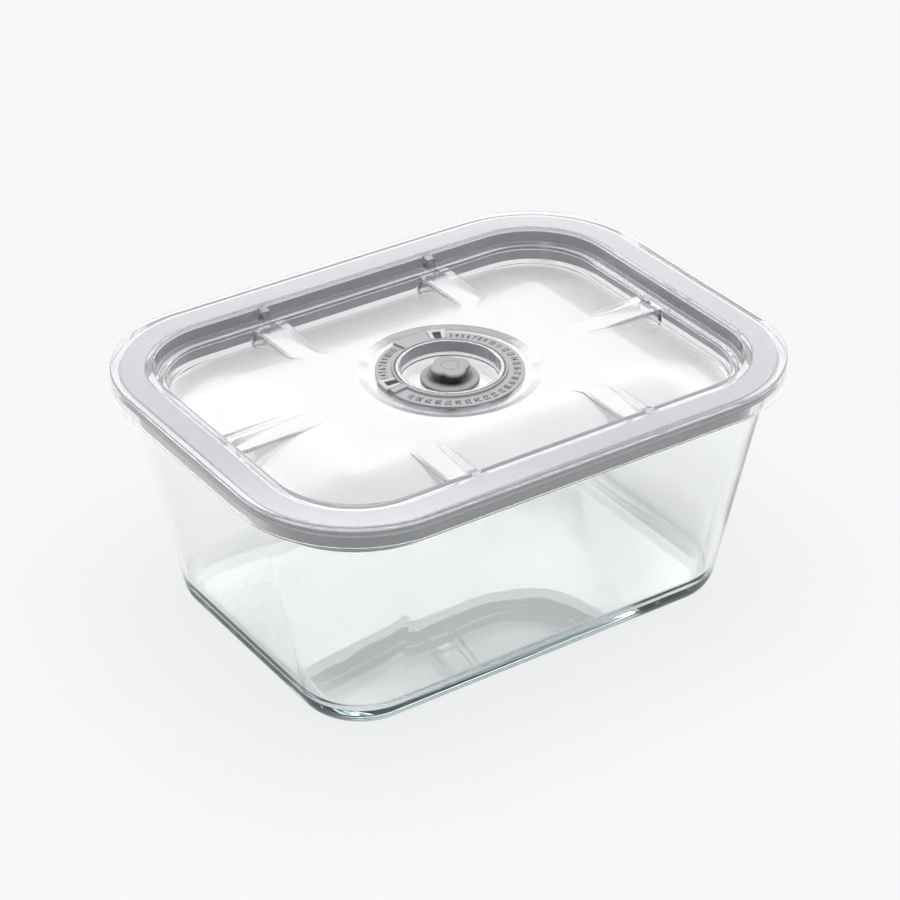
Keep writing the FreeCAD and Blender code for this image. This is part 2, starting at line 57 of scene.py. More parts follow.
# Sizes of the glass container
HALF_X, HALF_Y, RIM_TOP = GLASS_HIGH
RIM_CORNER = 39.0
GLASS_LEAN = 0.194
GLASS_WALL = 3.2
GLASS_BASE = 5.5
FOOT_ROUND = 8.0
INSIDE_ROUND = 7.0
GLASS_RIM_ROUND = 1.2
GLASS_MIDDLE_CORNER = 0.8
GLASS_MIDDLE = GLASS_MIDDLE_CORNER - RIM_CORNER

# Sizes of the lid. Offsets count outward from the glass rim's outline, and are negative inside it.
LID_WALL = 2.2
SKIRT_WALL = 2.6
SKIRT_DEPTH = 8.2
FLANGE_WIDTH = 14.3
LEDGE_DEPTH = 5.4
LEDGE_WIDTH = 4.0
PANEL_DEPTH = 6.0
WALL_LEAN = 0.08
LID_TOP = LID_HIGH.z
SKIRT_OUT = LID_HIGH.x - HALF_X
SKIRT_IN = SKIRT_OUT - SKIRT_WALL
SKIRT_BOTTOM = LID_TOP - SKIRT_DEPTH
FLANGE_IN = SKIRT_OUT - FLANGE_WIDTH
CHANNEL_IN = FLANGE_IN + LID_WALL
CHANNEL_TOP = GASKET_HIGH.z
LEDGE_TOP = LID_TOP - LEDGE_DEPTH
LEDGE_UNDER = LEDGE_TOP - LID_WALL
LEDGE_OUT = FLANGE_IN - WALL_LEAN * (LID_TOP - LEDGE_TOP)
LEDGE_IN = LEDGE_OUT - LEDGE_WIDTH
PANEL_TOP = LID_TOP - PANEL_DEPTH
PANEL_UNDER = PANEL_TOP - LID_WALL
POCKET_UNDER = LID_LOW.z
POCKET_FLOOR = POCKET_UNDER + LID_WALL
POCKET_EDGE = LEDGE_IN - WALL_LEAN * (LEDGE_TOP - POCKET_FLOOR)
INMOST_CORNER = 1.0
INMOST = INMOST_CORNER - RIM_CORNER

# The panel's crown, its tongues and the gussets on the recess wall
CROWN_RUN = 28.5
CROWN_CORNER = 30.0
CROWN_EASE = 1.5
TONGUE_SPREAD = 35.0
TONGUE_HALF = 6.3
TONGUE_UNDER_HALF = TONGUE_HALF - LID_WALL
TONGUE_LEAN = 0.22
TONGUE_EDGE = 0.35
TONGUE_EDGE_DROP = 0.14
TONGUE_BLEND = 0.5
# The blend lifts the faces a little, and this lets them down again.
TONGUE_SETTLE = TONGUE_BLEND ** 2 / 8
GUSSET_HALF = 1.5
GUSSET_SIDE = 0.25
GUSSET_REACH = 3.2
GUSSET_TOE = 4.0
GUSSET_DROP = 0.6
GUSSET_SLOPE = 1.0
GUSSET_CREST = LID_TOP - GUSSET_DROP
GUSSET_SHOULDER = GUSSET_CREST - GUSSET_SLOPE
GUSSET_LEDGE_START = LEDGE_OUT + 0.5

# The lid's rounded edges
RIM_ROUND = 0.6
EDGE_ROUND = 0.5
BROW_ROUND = 0.4
LEDGE_ROUND = 0.35
POCKET_ROUND = 1.6
SEAT_ROUND = 0.2
SLOT_ROUND = 0.15
CHANNEL_ROUND = 0.3
BOSS_ROUND = 0.6
UNDER_ROUND = 0.8
POCKET_UNDER_ROUND = 0.9

# The dial recess, the collar and the valve well
COLLAR_BORE = 17.3
COLLAR_OUT = 18.9
COLLAR_RISE = 1.4
COLLAR_TOP = PANEL_TOP + COLLAR_RISE
WELL_DEPTH = 4.2
WELL_FLOOR = PANEL_TOP - WELL_DEPTH
WELL_UNDER = WELL_FLOOR - LID_WALL
VALVE_HOLE = 2.3
DIAL_DEPTH = 0.9
DIAL_FLOOR = PANEL_TOP - DIAL_DEPTH
DIAL_RIM = 32.0
DIAL_EDGE = 28.6
DIAL_BORDER = 0.6
DIAL_REACH = DIAL_RIM + DIAL_BORDER
LIP_SLOT_OUT = 20.3
LIP_SLOT_DEPTH = 2.9
LIP_SLOT_FLOOR = DIAL_FLOOR - LIP_SLOT_DEPTH
BOSS_OUT = LIP_SLOT_OUT + LID_WALL

# The gasket is pressed into the flange and the skirt by a hair, so that no air lies between them.
# Its inner lip hangs deeper than the solid's.
GASKET_PRESSED = 0.02
GASKET_SIDE_GAP = 0.4
GASKET_LIP = 1.2
GASKET_LIP_DEEPER = 2.0
GASKET_STEP_IN = 0.8
GASKET_STEP_RISE = 0.7
GASKET_STEP_LEAN = 0.1
GASKET_ROUND = 0.4
GASKET_INNER_ROUND = 0.3
GASKET_STEP_ROUND = 0.1

# Sizes of the dial ring
RING_GAP = 0.3
RING_LIP_WALL = 0.8
RING_LIP_BELOW_COLLAR = 0.05
RING_TRACK_RISE = 0.4
RING_THICK = 0.55
RING_OVERHANG = 0.95
RING_IN = COLLAR_OUT + RING_GAP
RING_LIP = RING_IN + RING_LIP_WALL
RING_LIP_TOP = COLLAR_TOP - RING_LIP_BELOW_COLLAR
RING_OUT = RING_HIGH.x
RING_SEAT = RING_OUT - RING_OVERHANG
RING_TRACK = PANEL_TOP + RING_TRACK_RISE
RING_UNDER = RING_TRACK - RING_THICK
RING_ROUND = 0.12
TRACK_EDGE_ROUND = 0.16
LIP_ROUND = 0.25
LIP_FOOT_ROUND = 0.1

# Where the lid's satin panel begins inside the ledge, and where it is clear about the dial. The panel's
# white colour is partly its satin finish and partly painted sheen for the lamps' reflection.
SATIN_AND_SHEEN_START = 2.0
SATIN_AND_SHEEN_RUN = 6.0
CLEAR_RIM_OUT = DIAL_RIM + 0.5
CLEAR_COLLAR_OUT = RING_SEAT - 0.4

# The dividers between the two tracks, by start and sweep from +X
DAY_DIVIDER = (75.2, 30.8)
MONTH_DIVIDER = (182.7, 6.3)
DIVIDER_INSET = 0.4
DIVIDER_ROOT = 0.3
DIVIDER_BEVEL = 0.15

# Runs of numerals, clockwise: first and last number, angle of the first from +X, angle between them
NUMERAL_RUNS = ((1, 9, 65.4, 5.2), (10, 31, 16.5, 8.35), (1, 12, 174.5, 5.545))
NUMERAL_RADIUS = 23.05
NUMERAL_HEIGHT = 2.6
NUMERAL_SQUEEZE = 0.68
NUMERAL_SPACING = 0.92
NUMERAL_STROKE = 0.06
NUMERAL_HALF_THICK = 0.02
NUMERAL_LIFT = 0.03
FONT_CAP_SHARE = 0.72

# Sizes of the two pointers, and the angles from +X where they rest
DAY_AT = 67.2
MONTH_AT = 174.7
POINTER_SWEEP = 14.8
WINDOW_SWEEP = 7.0
BAR_OVERLAP = 0.5
POINTER_GAP = 0.15
POINTER_THICK = 0.8
POINTER_BAR = 1.1
POINTER_SKIRT = 0.65
HOOK_THICK = 0.45
SHADE_PLATE_THICK = 0.2
POINTER_BEVEL = 0.16
FINE_BEVEL = 0.05

# Sizes of the valve. Turned sections begin and end just beside the axis.
AXIS = 0.02
BULB = 3.2
BULB_HEIGHT = 2.0
PIN = 2.0
DISC_THICK = 2.0
DISC_RIM = 2.2
DISH_DEPTH = 0.7
DISH_FLAT = 1.4
STEM = 3.4
STEM_OVERLAP = 0.3
BULB_ROUND = 0.6
BULB_TOP_ROUND = 0.4
PIN_ROUND = 0.2
DISC_FOOT_ROUND = 0.4
DISC_ROUND = 0.9
DISH_ROUND = 1.2
STEM_ROUND = 0.8
TAB_AT = 196.0
TAB_HALF = 1.3
TAB_ROOT = 1.0
TAB_THICK = 0.8
TAB_BEVEL = 0.2

# The valve's knob
KNOB_THICK = 1.7
KNOB_ROUND = KNOB_THICK / 2
KNOB_HOLLOW = 0.1
KNOB_UNDER_IN = 1.0
KNOB_TOP_IN = 1.6
LOBE = 4.3
LOBE_OFFSET = 2.95
LOBE_TURN = math.radians(80)
LOBE_COUNT = 4
WAIST = 0.2
GATE = 3.05
GATE_FINE = 0.12

# How finely the shapes are divided
STATION_SPREAD = 2.6
STATION_CLOSEST = 0.06
EDGE_PLACES = (-0.6, -0.25, -0.08, 0.0, 0.12, 0.25, 0.45, 0.7, 0.95, 1.2, 1.5, 1.9)
CORNER_STATIONS = 22
WALL_ROWS = 12
POCKET_ROWS = 6
PANEL_ROWS = 14
LEDGE_SHARES = (0.3, 0.5, 0.7)
BLEND_SHARES = (0.25, 0.5, 0.75)
RING_SIDES = 220
DISC_SIDES = 120
KNOB_SIDES = 160
BLOCK_STEP = 1.5
SAME_POINT = 0.002
SHARP = 35.0
SHARP_BLOCK = 30.0
SHARP_KNOB = 40.0


# Plain geometry


def mix(first, second, share):
    """A number that lies a share of the way from the first to the second."""
    return first + (second - first) * share


def clamp(share):
    """A share kept between 0 and 1."""
    return min(max(share, 0.0), 1.0)


def ease(share):
    """Smooth step from 0 to 1."""
    share = clamp(share)
    return share * share * (3 - 2 * share)


def smooth_max(first, second, soft):
    """The greater of two numbers, rounded where they cross."""
    gap = second - first
    return first + (gap + math.hypot(gap, soft)) / 2


def polar(radius, turn, up):
    """A point at a radius and a turn about Z, in radians, at a height."""
    return radius * math.cos(turn), radius * math.sin(turn), up


def arc(across, up, radius, start, end, steps):
    """Points of a round edge as (across, up) pairs, between two angles in radians."""
    points = []
    for step in range(steps + 1):
        angle = mix(start, end, step / steps)
        points.append((across + radius * math.cos(angle), up + radius * math.sin(angle)))
    return points


def corner_round(before, corner, after, radius, steps=5):
    """Points that round off a corner of a section, tangent to both of its sides."""
    corner = Vector(corner)
    one = (Vector(before) - corner).normalized()
    two = (Vector(after) - corner).normalized()
    half = one.angle(two) / 2
    middle = corner + (one + two).normalized() * (radius / math.sin(half))
    begin = corner + one * (radius / math.tan(half)) - middle
    end = corner + two * (radius / math.tan(half)) - middle
    turn = math.atan2(begin.x * end.y - begin.y * end.x, begin.dot(end))
    first = math.atan2(begin.y, begin.x)
    return arc(middle.x, middle.y, radius, first, first + turn, steps)


def rounded_section(corners, closed=True, steps=5):
    """A section whose corners are (across, up, radius) triples."""
    points = []
    count = len(corners)
    for turn, (across, up, radius) in enumerate(corners):
        is_end = not closed and turn in (0, count - 1)
        if is_end or radius == 0:
            points.append((across, up))
            continue
        before = corners[turn - 1][:2]
        after = corners[(turn + 1) % count][:2]
        points += corner_round(before, (across, up), after, radius, steps)
    return points


# Places round the rim


def side_places(half_length, features):
    """Places along a straight side: evenly spread, and close together at the given features."""
    count = int(2 * half_length / STATION_SPREAD)
    places = {round(mix(-half_length, half_length, step / count), 3) for step in range(count + 1)}
    for middle in features:
        for half in (GUSSET_HALF, TONGUE_UNDER_HALF, TONGUE_HALF):
            for offset in EDGE_PLACES:
                for side in (-1, 1):
                    places.add(round(middle + side * (half + offset), 3))
    kept = [-half_length]
    for place in sorted(places):
        if place - kept[-1] > STATION_CLOSEST and half_length - place > STATION_CLOSEST:
            kept.append(place)
    return kept


def rim_stations():
    """Anchor points and outward directions round the rim, from the middle of its corner arcs."""
    reach_x, reach_y = HALF_X - RIM_CORNER, HALF_Y - RIM_CORNER
    long_side = side_places(reach_x, (-TONGUE_SPREAD, TONGUE_SPREAD))
    short_side = side_places(reach_y, (0.0,))
    stations = []
    for quarter, (sign_x, sign_y) in enumerate(((1, 1), (-1, 1), (-1, -1), (1, -1))):
        turn = quarter * math.pi / 2
        normal = (round(math.cos(turn)), round(math.sin(turn)))
        for place in (short_side if quarter % 2 == 0 else long_side):
            if quarter % 2 == 0:
                anchor = (reach_x * normal[0], place * normal[0])
            else:
                anchor = (-place * normal[1], reach_y * normal[1])
            stations.append((*anchor, *normal))
        for step in range(CORNER_STATIONS):
            angle = turn + math.pi / 2 * step / CORNER_STATIONS
            stations.append((sign_x * reach_x, sign_y * reach_y, math.cos(angle), math.sin(angle)))
    return stations


STATIONS = rim_stations()


def rim_point(station, offset, up):
    """A point outside the rim by an offset, at a height."""
    across, along, out_x, out_y = station
    reach = RIM_CORNER + offset
    return across + reach * out_x, along + reach * out_y, up


# Mesh pieces


def place_mesh(name, mesh):
    """An object of a mesh, with normals that keep flat faces flat."""
    piece = bpy.data.objects.new(name, mesh)
    bpy.context.scene.collection.objects.link(piece)
    normals = piece.modifiers.new("flat faces stay flat", "WEIGHTED_NORMAL")
    normals.keep_sharp = True
    return piece


def finish_mesh(name, points, faces, sharp=SHARP):
    """A smooth mesh object from millimetre points."""
    mesh = bpy.data.meshes.new(name)
    mesh.from_pydata([(x * MM, y * MM, z * MM) for x, y, z in points], [], faces)
    shape = bmesh.new()
    shape.from_mesh(mesh)
    bmesh.ops.remove_doubles(shape, verts=shape.verts, dist=SAME_POINT * MM)
    bmesh.ops.recalc_face_normals(shape, faces=shape.faces)
    shape.to_mesh(mesh)
    shape.free()
    mesh.shade_smooth()
    mesh.set_sharp_from_angle(angle=math.radians(sharp))
    return place_mesh(name, mesh)


def join(name, pieces):
    """One object from several."""
    shape = bmesh.new()
    for piece in pieces:
        shape.from_mesh(piece.data)
        bpy.data.objects.remove(piece)
    mesh = bpy.data.meshes.new(name)
    shape.to_mesh(mesh)
    shape.free()
    mesh.set_sharp_from_angle(angle=math.radians(SHARP))
    return place_mesh(name, mesh)


def grid_faces(rings, count, loop):
    """Quads between rings of equally many points, round a closed or open row of rings."""
    faces = []
    for ring in range(rings if loop else rings - 1):
        here, there = ring * count, (ring + 1) % rings * count
        for place in range(count):
            following = (place + 1) % count
            faces.append((here + place, here + following, there + following, there + place))
    return faces


def capped_faces(rings, count):
    """Quads between an open row of rings, and a face on each end."""
    last = (rings - 1) * count
    caps = [tuple(range(count)), tuple(range(last, last + count))]
    return grid_faces(rings, count, False) + caps


def swept_points(section):
    """Points of (offset, up) pairs carried round the rim."""
    return [rim_point(station, offset, up) for offset, up in section for station in STATIONS]


def turned_piece(name, section, count, loop=True):
    """A closed section of (radius, up) pairs turned about Z, or an open one with its ends at the axis."""
    turns = [2 * math.pi * step / count for step in range(count)]
    points = [polar(radius, turn, up) for radius, up in section for turn in turns]
    return finish_mesh(name, points, grid_faces(len(section), count, loop))


def arc_block(name, inner, outer, low, high, start, sweep, bevel):
    """A block that follows the ring between two angles, with softened upper edges."""
    section = [(inner, low), (outer, low), (outer, high - bevel), (outer - bevel, high),
               (inner + bevel, high), (inner, high - bevel)]
    first, last = math.radians(start), math.radians(start + sweep)
    bevel_turn = bevel / outer
    steps = max(4, int(sweep / BLOCK_STEP))
    between = [mix(first, last, step / steps) for step in range(1, steps)]
    points = []
    for turn in (first, first + bevel_turn, *between, last - bevel_turn, last):
        top = high - bevel if turn in (first, last) else high
        points += [polar(radius, turn, min(up, top)) for radius, up in section]
    count = len(section)
    return finish_mesh(name, points, capped_faces(len(points) // count, count), SHARP_BLOCK)


def dress(piece, body, slot, material, *nodes):
    """Give a piece its body and material, and hide the solids that it stands for. The slot, its finish,
    is not used.
    """
    piece.data.materials.append(material)
    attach(piece, body)
    if nodes:
        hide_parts(*nodes)
    return piece


# Shader nodes

# The parts of a source's range that a number and a colour run through
NUMBER_SPAN = (0.3, 0.7)
COLOUR_SPAN = (0.35, 0.65)


def new_material(name):
    """A node material with one Principled shader, its node tree and that shader."""
    material = bpy.data.materials.new(name)
    material.use_nodes = True
    tree = material.node_tree
    return material, tree, tree.nodes["Principled BSDF"]


def add_node(tree, kind, **inputs):
    """A node with plain input values set by name."""
    node = tree.nodes.new(kind)
    for name, value in inputs.items():
        node.inputs[name.replace("_", " ")].default_value = value
    return node


def vector_math(tree, operation, source, other=(0, 0, 0)):
    """A node that works on a vector and on a constant one."""
    node = tree.nodes.new("ShaderNodeVectorMath")
    node.operation = operation
    node.inputs[1].default_value = other
    tree.links.new(source, node.inputs[0])
    return node


def surface_noise(tree, scale, detail=3.0):
    """Noise that stays with the piece."""
    place = tree.nodes.new("ShaderNodeTexCoord")
    noise = add_node(tree, "ShaderNodeTexNoise", Scale=scale, Detail=detail)
    tree.links.new(place.outputs["Object"], noise.inputs["Vector"])
    return noise.outputs["Fac"]


def rescale(tree, source, low, high, span=(0.0, 1.0)):
    """A number that runs from low to high while the source runs through a span."""
    start, end = span
    scaled = add_node(tree, "ShaderNodeMapRange", From_Min=start, From_Max=end, To_Min=low, To_Max=high)
    tree.links.new(source, scaled.inputs["Value"])
    return scaled.outputs["Result"]


def colour_ramp(tree, source, stops):
    """Colours along a source, as (position, colour) pairs."""
    ramp = tree.nodes.new("ShaderNodeValToRGB")
    elements = ramp.color_ramp.elements
    while len(elements) < len(stops):
        elements.new(0.5)
    for element, (position, colour) in zip(elements, stops):
        element.position = position
        element.color = (*colour, 1)
    tree.links.new(source, ramp.inputs["Fac"])
    return ramp.outputs["Color"]


def level_ramp(tree, source, levels):
    """Greys along a height or a distance, as (position, level) pairs."""
    return colour_ramp(tree, source, [(position, (level, level, level)) for position, level in levels])


def vary(tree, source, socket, low, high):
    """Drive a number socket from a noise, between two values."""
    tree.links.new(rescale(tree, source, low, high, NUMBER_SPAN), socket)


def vary_colour(tree, source, socket, first, second):
    """Drive a colour socket from a noise or a share, between two colours."""
    stops = list(zip(COLOUR_SPAN, (first, second)))
    tree.links.new(colour_ramp(tree, source, stops), socket)


def roughen(tree, shader, source, strength, distance):
    """Small relief in the shading."""
    bump = add_node(tree, "ShaderNodeBump", Strength=strength, Distance=distance)
    tree.links.new(source, bump.inputs["Height"])
    tree.links.new(bump.outputs["Normal"], shader.inputs["Normal"])


def either(tree, one, other):
    """The greater of two shares."""
    node = tree.nodes.new("ShaderNodeMath")
    node.operation = "MAXIMUM"
    tree.links.new(one, node.inputs[0])
    tree.links.new(other, node.inputs[1])
    return node.outputs[0]


def choose(tree, share, none, full):
    """Blend of two shaders."""
    blend = tree.nodes.new("ShaderNodeMixShader")
    tree.links.new(share, blend.inputs["Fac"])
    tree.links.new(none, blend.inputs[1])
    tree.links.new(full, blend.inputs[2])
    return blend.outputs[0]


def blend_colours(tree, share, none, full):
    """Blend of two colours."""
    blend = tree.nodes.new("ShaderNodeMix")
    blend.data_type = "RGBA"
    factor, first, second = blend.inputs[0], blend.inputs[6], blend.inputs[7]
    tree.links.new(share, factor)
    tree.links.new(none, first)
    tree.links.new(full, second)
    return blend.outputs[2]


def ray_kinds(tree):
    """Which rays come straight from the camera, and which off or through clear pieces."""
    path = tree.nodes.new("ShaderNodeLightPath")
    glass_rays = either(tree, path.outputs["Is Glossy Ray"], path.outputs["Is Transmission Ray"])
    return path.outputs["Is Camera Ray"], glass_rays


def let_lamps_through(tree, shader, tint):
    """Lamps reach what is behind clear material."""
    path = tree.nodes.new("ShaderNodeLightPath")
    clear = add_node(tree, "ShaderNodeBsdfTransparent", Color=(*tint, 1))
    shown = choose(tree, path.outputs["Is Shadow Ray"], shader.outputs["BSDF"], clear.outputs["BSDF"])
    tree.links.new(shown, tree.nodes["Material Output"].inputs["Surface"])


def tint_depth(tree, colour, density):
    """Clear material takes on a colour with its depth."""
    depth = add_node(tree, "ShaderNodeVolumeAbsorption", Color=(*colour, 1), Density=density)
    tree.links.new(depth.outputs["Volume"], tree.nodes["Material Output"].inputs["Volume"])


# Materials


def glass_material():
    """Clear pressed glass, a little wavy, with a green cast in its depth."""
    material, tree, shader = new_material("pressed_glass")
    shader.inputs["Transmission Weight"].default_value = 1.0
    shader.inputs["IOR"].default_value = 1.5
    shader.inputs["Base Color"].default_value = (0.992, 0.997, 0.998, 1)
    wave = surface_noise(tree, 26.0, 1.5)
    vary(tree, wave, shader.inputs["Roughness"], 0.0, 0.012)
    roughen(tree, shader, wave, 0.05, 0.002)
    let_lamps_through(tree, shader, (0.84, 0.85, 0.85))
    tint_depth(tree, (0.62, 0.72, 0.73), 14.0)
    return material


def clear_plastic_material():
    """Clear moulded lid: polished rim, satin panel whose white colour is partly painted sheen standing
    for the lamps' reflection.
    """
    polished, milky_and_sheen = (0.94, 0.943, 0.95), (0.85, 0.852, 0.856)
    polished_rough, satin_rough, grain_rough = 0.015, 0.2, 0.02
    polished_clear, satin_clear = 1.0, 0.83
    material, tree, shader = new_material("clear_plastic")
    shader.inputs["IOR"].default_value = 1.49
    attribute = tree.nodes.new("ShaderNodeAttribute")
    attribute.attribute_name = "satin"
    satin = attribute.outputs["Fac"]
    # Painted sheen in part: the satin share also whitens the panel's colour, standing partly for the
    # lamps' reflection.
    vary_colour(tree, satin, shader.inputs["Base Color"], polished, milky_and_sheen)
    rough = tree.nodes.new("ShaderNodeMath")
    rough.operation = "MULTIPLY_ADD"
    tree.links.new(surface_noise(tree, 900.0, 2.0), rough.inputs[0])
    rough.inputs[1].default_value = grain_rough
    tree.links.new(rescale(tree, satin, polished_rough, satin_rough), rough.inputs[2])
    tree.links.new(rough.outputs["Value"], shader.inputs["Roughness"])
    clearness = rescale(tree, satin, polished_clear, satin_clear)
    tree.links.new(clearness, shader.inputs["Transmission Weight"])
    let_lamps_through(tree, shader, (0.87, 0.87, 0.88))
    tint_depth(tree, (0.3, 0.3, 0.37), 26.0)
    return material


def matt_material(name, dark, light, roughness, grain, relief, shade=0.0):
    """Opaque moulding with fine grain and slight tone changes.

    With a shade, which is a distance in metres, its colour is painted darker in its hollows, a painted
    shade where nearby parts would shade it."""
    roughness_change = 0.05
    relief_depth = 0.0002
    material, tree, shader = new_material(name)
    noise = surface_noise(tree, grain)
    colour = shader.inputs["Base Color"]
    if shade:
        # Painted shade: ambient occlusion darkens the base colour in hollows and under overhangs.
        hollows = add_node(tree, "ShaderNodeAmbientOcclusion", Distance=shade)
        hollows.only_local = True
        tree.links.new(hollows.outputs["Color"], colour)
        colour = hollows.inputs["Color"]
    vary_colour(tree, noise, colour, dark, light)
    smooth, rough = roughness - roughness_change, roughness + roughness_change
    vary(tree, noise, shader.inputs["Roughness"], smooth, rough)
    roughen(tree, shader, noise, relief, relief_depth)
    return material


GLASS = glass_material()
CLEAR = clear_plastic_material()
GASKET = matt_material("gasket_silicone", (0.4, 0.404, 0.418), (0.435, 0.439, 0.453),
                       roughness=0.5, grain=700.0, relief=0.08)
# The valve's colour is painted darker on its disc under the knob and round its stem, a painted shade.
VALVE = matt_material("valve_silicone", (0.37, 0.375, 0.385), (0.41, 0.415, 0.425),
                      roughness=0.55, grain=900.0, relief=0.1, shade=0.008)
DIAL = matt_material("dial_plastic", (0.39, 0.395, 0.41), (0.43, 0.435, 0.45),
                     roughness=0.5, grain=1200.0, relief=0.08)
POINTER = matt_material("pointer_plastic", (0.56, 0.565, 0.58), (0.6, 0.605, 0.62),
                        roughness=0.4, grain=1200.0, relief=0.05)
# Ink for the printed numerals; the same near-black on the pointers' slot plates is painted shade.
INK_AND_SHADE = matt_material("dial_ink_and_shade", (0.018, 0.018, 0.022), (0.028, 0.028, 0.032),
                    roughness=0.6, grain=1500.0, relief=0.02)


# Glass container


def glass_container():
    """Tapered tub with a heavy rounded foot and a rounded rim."""
    foot = -GLASS_LEAN * RIM_TOP
    floor_edge = foot + GLASS_LEAN * GLASS_BASE - GLASS_WALL
    rim = RIM_TOP - CONTACT
    section = rounded_section([
        (GLASS_MIDDLE, 0.0, 0), (foot, 0.0, FOOT_ROUND), (0.0, rim, GLASS_RIM_ROUND),
        (-GLASS_WALL, rim, GLASS_RIM_ROUND), (floor_edge, GLASS_BASE, INSIDE_ROUND),
        (GLASS_MIDDLE, GLASS_BASE, 0)], closed=False, steps=9)
    faces = capped_faces(len(section), len(STATIONS))
    piece = finish_mesh("glass_tub", swept_points(section), faces)
    return dress(piece, "container", "glass", GLASS, "glass_container")


# Lid


def panel_height(x, y, top, floor, half):
    """Height of the raised panel, its sloping sides and its tongues at a point."""
    beyond_x = abs(x) - (HALF_X + POCKET_EDGE - CROWN_CORNER)
    beyond_y = abs(y) - (HALF_Y + POCKET_EDGE - CROWN_CORNER)
    outside = math.hypot(max(beyond_x, 0), max(beyond_y, 0)) + min(max(beyond_x, beyond_y), 0)
    share = clamp((CROWN_CORNER - outside) / CROWN_RUN)
    crown = mix(floor, top, 1 - (1 - share) ** CROWN_EASE)
    beside = min(abs(abs(x) - TONGUE_SPREAD), abs(y)) - half
    edge_drop = TONGUE_EDGE_DROP * math.exp(-(beside / TONGUE_EDGE) ** 2)
    tongue = top - max(beside, 0) / TONGUE_LEAN - edge_drop
    return min(smooth_max(crown, tongue, TONGUE_BLEND) - TONGUE_SETTLE, top)


def panel_point(x, y, under):
    """A point on the upper or lower face of the panel."""
    if under:
        return x, y, panel_height(x, y, PANEL_UNDER, POCKET_UNDER, TONGUE_UNDER_HALF)
    return x, y, panel_height(x, y, PANEL_TOP, POCKET_FLOOR, TONGUE_HALF)


def gusset_share(x, normal_y):
    """1 on a gusset, 0 beside it. Gussets stand on the straight long sides only."""
    straight = 0.99
    if abs(normal_y) < straight:
        return 0.0
    beside = abs(abs(x) - TONGUE_SPREAD)
    return 1 - ease((beside - GUSSET_HALF) / GUSSET_SIDE)


def gusset_depth(up):
    """How far a gusset stands out from the recess wall at a height."""
    if up >= GUSSET_CREST:
        return 0.0
    if up >= GUSSET_SHOULDER:
        return GUSSET_REACH * (GUSSET_CREST - up) / (GUSSET_CREST - GUSSET_SHOULDER)
    return mix(GUSSET_REACH, GUSSET_TOE, (GUSSET_SHOULDER - up) / (GUSSET_SHOULDER - LEDGE_TOP))


def rings_of(kind, section):
    """Rings of one kind from (across, up) pairs."""
    return [(kind, across, up) for across, up in section]


def rim_rings():
    """Rings from the skirt's foot over the flange, down the recess wall and across the ledge."""
    wall_start, wall_end = LID_TOP - 0.5, LEDGE_TOP + 0.4
    rim = rounded_section([
        (SKIRT_IN, SKIRT_BOTTOM, 0), (SKIRT_OUT, SKIRT_BOTTOM, EDGE_ROUND),
        (SKIRT_OUT, LID_TOP, RIM_ROUND), (FLANGE_IN, LID_TOP, BROW_ROUND),
        (LEDGE_OUT, LEDGE_TOP, 0)], closed=False)[1:-1]
    heights = [mix(wall_start, wall_end, step / WALL_ROWS) for step in range(1, WALL_ROWS + 1)]
    wall = [(FLANGE_IN - WALL_LEAN * (LID_TOP - up), up) for up in heights]
    flat = [(mix(LEDGE_OUT, LEDGE_IN, share), LEDGE_TOP, 0) for share in LEDGE_SHARES]
    ledge = rounded_section([
        (FLANGE_IN, LID_TOP, 0), (LEDGE_OUT, LEDGE_TOP, LEDGE_ROUND), *flat,
        (LEDGE_IN, LEDGE_TOP, EDGE_ROUND), (POCKET_EDGE, POCKET_FLOOR, 0)], closed=False)[1:-1]
    return rings_of("rim", rim) + rings_of("wall", wall) + rings_of("ledge", ledge)


def panel_rings():
    """Rings down the pocket's wall, over the panel and in to the dial."""
    wall_start = Vector((LEDGE_IN, LEDGE_TOP - 0.6))
    foot = corner_round((LEDGE_IN, LEDGE_TOP), (POCKET_EDGE, POCKET_FLOOR), (INMOST, POCKET_FLOOR),
                        POCKET_ROUND, steps=7)
    wall_end = Vector(foot[0])
    wall = [wall_start.lerp(wall_end, step / POCKET_ROWS) for step in range(1, POCKET_ROWS)]
    panel_start = foot[-1][0]
    panel = [(mix(panel_start, INMOST, step / PANEL_ROWS), 0.0) for step in range(1, PANEL_ROWS + 1)]
    blend = [(INMOST, share) for share in BLEND_SHARES]
    return rings_of("pocket", wall + foot) + rings_of("panel", panel) + rings_of("blend", blend)


def dial_rings():
    """Rings round the dial recess, the collar and the valve well, and back below them."""
    return rings_of("turn", rounded_section([
        (DIAL_REACH, PANEL_TOP, 0), (DIAL_RIM, PANEL_TOP, EDGE_ROUND),
        (DIAL_EDGE, DIAL_FLOOR, EDGE_ROUND), (RING_SEAT, DIAL_FLOOR, SEAT_ROUND),
        (RING_SEAT, RING_UNDER, SEAT_ROUND), (LIP_SLOT_OUT, RING_UNDER, SLOT_ROUND),
        (LIP_SLOT_OUT, LIP_SLOT_FLOOR, SLOT_ROUND), (COLLAR_OUT, LIP_SLOT_FLOOR, SLOT_ROUND),
        (COLLAR_OUT, COLLAR_TOP, EDGE_ROUND), (COLLAR_BORE, COLLAR_TOP, EDGE_ROUND),
        (COLLAR_BORE, WELL_FLOOR, EDGE_ROUND), (VALVE_HOLE, WELL_FLOOR, SEAT_ROUND),
        (VALVE_HOLE, WELL_UNDER, SEAT_ROUND), (BOSS_OUT, WELL_UNDER, BOSS_ROUND),
        (BOSS_OUT, PANEL_UNDER, UNDER_ROUND), (DIAL_REACH, PANEL_UNDER, 0)], closed=False, steps=4))


